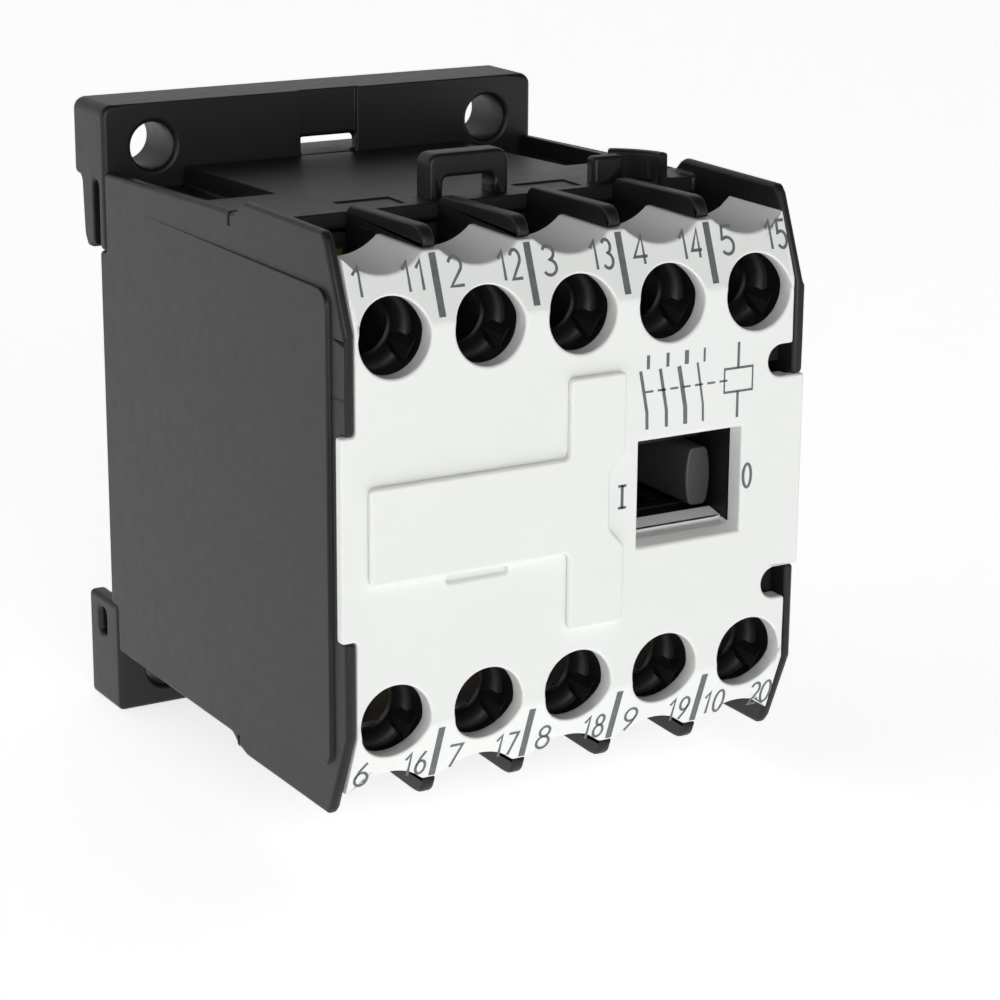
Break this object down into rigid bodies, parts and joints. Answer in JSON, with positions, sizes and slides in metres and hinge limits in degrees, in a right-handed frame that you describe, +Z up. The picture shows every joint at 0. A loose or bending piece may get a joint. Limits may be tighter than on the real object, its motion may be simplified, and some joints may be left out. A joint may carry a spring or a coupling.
{
  "type": "din rail contactor",
  "caption": "Compact electromagnetic contactor for a 35 mm rail, with rows of screw terminals above and below and a sliding position indicator in its window.",
  "frame": {"origin": "centre of the rectangle of four fixing screws, on the plane that the device is fastened to", "axes": "+X to the right seen from the front, +Y back towards the panel, +Z up; the front cover faces -Y"},
  "size_m": [0.045, 0.0539, 0.058],
  "materials": {
    "black_plastic": "moulded, fine satin grain",
    "inner_plastic": "moulded, satin",
    "white_plastic": "moulded, satin",
    "label_plastic": "moulded, smooth",
    "indicator_plastic": "moulded, satin",
    "rail_spring_steel": "rolled",
    "spring_wire": "drawn wire",
    "laminated_iron": "ground pole faces",
    "pin_steel": "polished",
    "ring_copper": "bare copper",
    "enamelled_copper": "enamelled wire",
    "cushion_rubber": "dull",
    "terminal_brass": "tinned in places",
    "bridge_copper": "stamped",
    "contact_silver": "silver alloy",
    "screw_zinc": "zinc plated",
    "washer_zinc": "zinc plated"
  },
  "bodies": {
    "base": {"base_plate": "black_plastic", "rail_spring": "rail_spring_steel", "housing_shell": "black_plastic", "contact_block": "inner_plastic", "front_cover": "white_plastic", "label_plate": "label_plastic", "magnet_core": "laminated_iron", "shading_rings": "ring_copper", "core_cushions": "cushion_rubber", "coil_bobbin": "inner_plastic", "coil_winding": "enamelled_copper", "return_springs": "spring_wire", "fixed_tips": "contact_silver", "coil_terminal_top": "terminal_brass", "coil_terminal_bottom": "terminal_brass", "coil_leads": "enamelled_copper", "fixed_contact_top_1": "terminal_brass", "fixed_contact_top_2": "terminal_brass", "fixed_contact_top_3": "terminal_brass", "fixed_contact_top_4": "terminal_brass", "fixed_contact_bottom_1": "terminal_brass", "fixed_contact_bottom_2": "terminal_brass", "fixed_contact_bottom_3": "terminal_brass", "fixed_contact_bottom_4": "terminal_brass"},
    "carrier": {"contact_carrier": "inner_plastic", "indicator_slider": "indicator_plastic", "armature": "laminated_iron", "armature_pin": "pin_steel", "contact_springs": "spring_wire"},
    "bridge_1": {"bridge_contact_1": "bridge_copper", "bridge_tips_1": "contact_silver"},
    "bridge_2": {"bridge_contact_2": "bridge_copper", "bridge_tips_2": "contact_silver"},
    "bridge_3": {"bridge_contact_3": "bridge_copper", "bridge_tips_3": "contact_silver"},
    "bridge_4": {"bridge_contact_4": "bridge_copper", "bridge_tips_4": "contact_silver"},
    "terminal_screw_top_1": {"screw_top_1": "screw_zinc", "washer_top_1": "washer_zinc"},
    "terminal_screw_top_2": {"screw_top_2": "screw_zinc", "washer_top_2": "washer_zinc"},
    "terminal_screw_top_3": {"screw_top_3": "screw_zinc", "washer_top_3": "washer_zinc"},
    "terminal_screw_top_4": {"screw_top_4": "screw_zinc", "washer_top_4": "washer_zinc"},
    "terminal_screw_top_5": {"screw_top_5": "screw_zinc", "washer_top_5": "washer_zinc"},
    "terminal_screw_bottom_1": {"screw_bottom_1": "screw_zinc", "washer_bottom_1": "washer_zinc"},
    "terminal_screw_bottom_2": {"screw_bottom_2": "screw_zinc", "washer_bottom_2": "washer_zinc"},
    "terminal_screw_bottom_3": {"screw_bottom_3": "screw_zinc", "washer_bottom_3": "washer_zinc"},
    "terminal_screw_bottom_4": {"screw_bottom_4": "screw_zinc", "washer_bottom_4": "washer_zinc"},
    "terminal_screw_bottom_5": {"screw_bottom_5": "screw_zinc", "washer_bottom_5": "washer_zinc"}
  },
  "joints": [
    {"name": "carrier_slide", "type": "slide", "parent": "base", "child": "carrier", "axis": [-1, 0, 0], "range_m": [0, 0.0032], "stiffness_N_per_m": 400, "springref_m": -0.005, "deforming": ["return_springs"]},
    {"name": "bridge_1_slide", "type": "slide", "parent": "carrier", "child": "bridge_1", "axis": [1, 0, 0], "range_m": [0, 0.0008], "deforming": ["contact_springs"]},
    {"name": "bridge_2_slide", "type": "slide", "parent": "carrier", "child": "bridge_2", "axis": [1, 0, 0], "range_m": [0, 0.0008]},
    {"name": "bridge_3_slide", "type": "slide", "parent": "carrier", "child": "bridge_3", "axis": [1, 0, 0], "range_m": [0, 0.0008]},
    {"name": "bridge_4_slide", "type": "slide", "parent": "carrier", "child": "bridge_4", "axis": [1, 0, 0], "range_m": [0, 0.0008]},
    {"name": "screw_top_1_slide", "type": "slide", "parent": "base", "child": "terminal_screw_top_1", "axis": [0, -1, 0], "range_m": [0, 0.0025]},
    {"name": "screw_top_2_slide", "type": "slide", "parent": "base", "child": "terminal_screw_top_2", "axis": [0, -1, 0], "range_m": [0, 0.0025]},
    {"name": "screw_top_3_slide", "type": "slide", "parent": "base", "child": "terminal_screw_top_3", "axis": [0, -1, 0], "range_m": [0, 0.0025]},
    {"name": "screw_top_4_slide", "type": "slide", "parent": "base", "child": "terminal_screw_top_4", "axis": [0, -1, 0], "range_m": [0, 0.0025]},
    {"name": "screw_top_5_slide", "type": "slide", "parent": "base", "child": "terminal_screw_top_5", "axis": [0, -1, 0], "range_m": [0, 0.0025]},
    {"name": "screw_bottom_1_slide", "type": "slide", "parent": "base", "child": "terminal_screw_bottom_1", "axis": [0, -1, 0], "range_m": [0, 0.0025]},
    {"name": "screw_bottom_2_slide", "type": "slide", "parent": "base", "child": "terminal_screw_bottom_2", "axis": [0, -1, 0], "range_m": [0, 0.0025]},
    {"name": "screw_bottom_3_slide", "type": "slide", "parent": "base", "child": "terminal_screw_bottom_3", "axis": [0, -1, 0], "range_m": [0, 0.0025]},
    {"name": "screw_bottom_4_slide", "type": "slide", "parent": "base", "child": "terminal_screw_bottom_4", "axis": [0, -1, 0], "range_m": [0, 0.0025]},
    {"name": "screw_bottom_5_slide", "type": "slide", "parent": "base", "child": "terminal_screw_bottom_5", "axis": [0, -1, 0], "range_m": [0, 0.0025]}
  ],
  "couplings": [
    {"joint": "bridge_1_slide", "follows": "carrier_slide", "ratio": 0.25},
    {"joint": "bridge_2_slide", "follows": "carrier_slide", "ratio": 0.25},
    {"joint": "bridge_3_slide", "follows": "carrier_slide", "ratio": 0.25},
    {"joint": "bridge_4_slide", "follows": "carrier_slide", "ratio": 0.25}
  ]
}
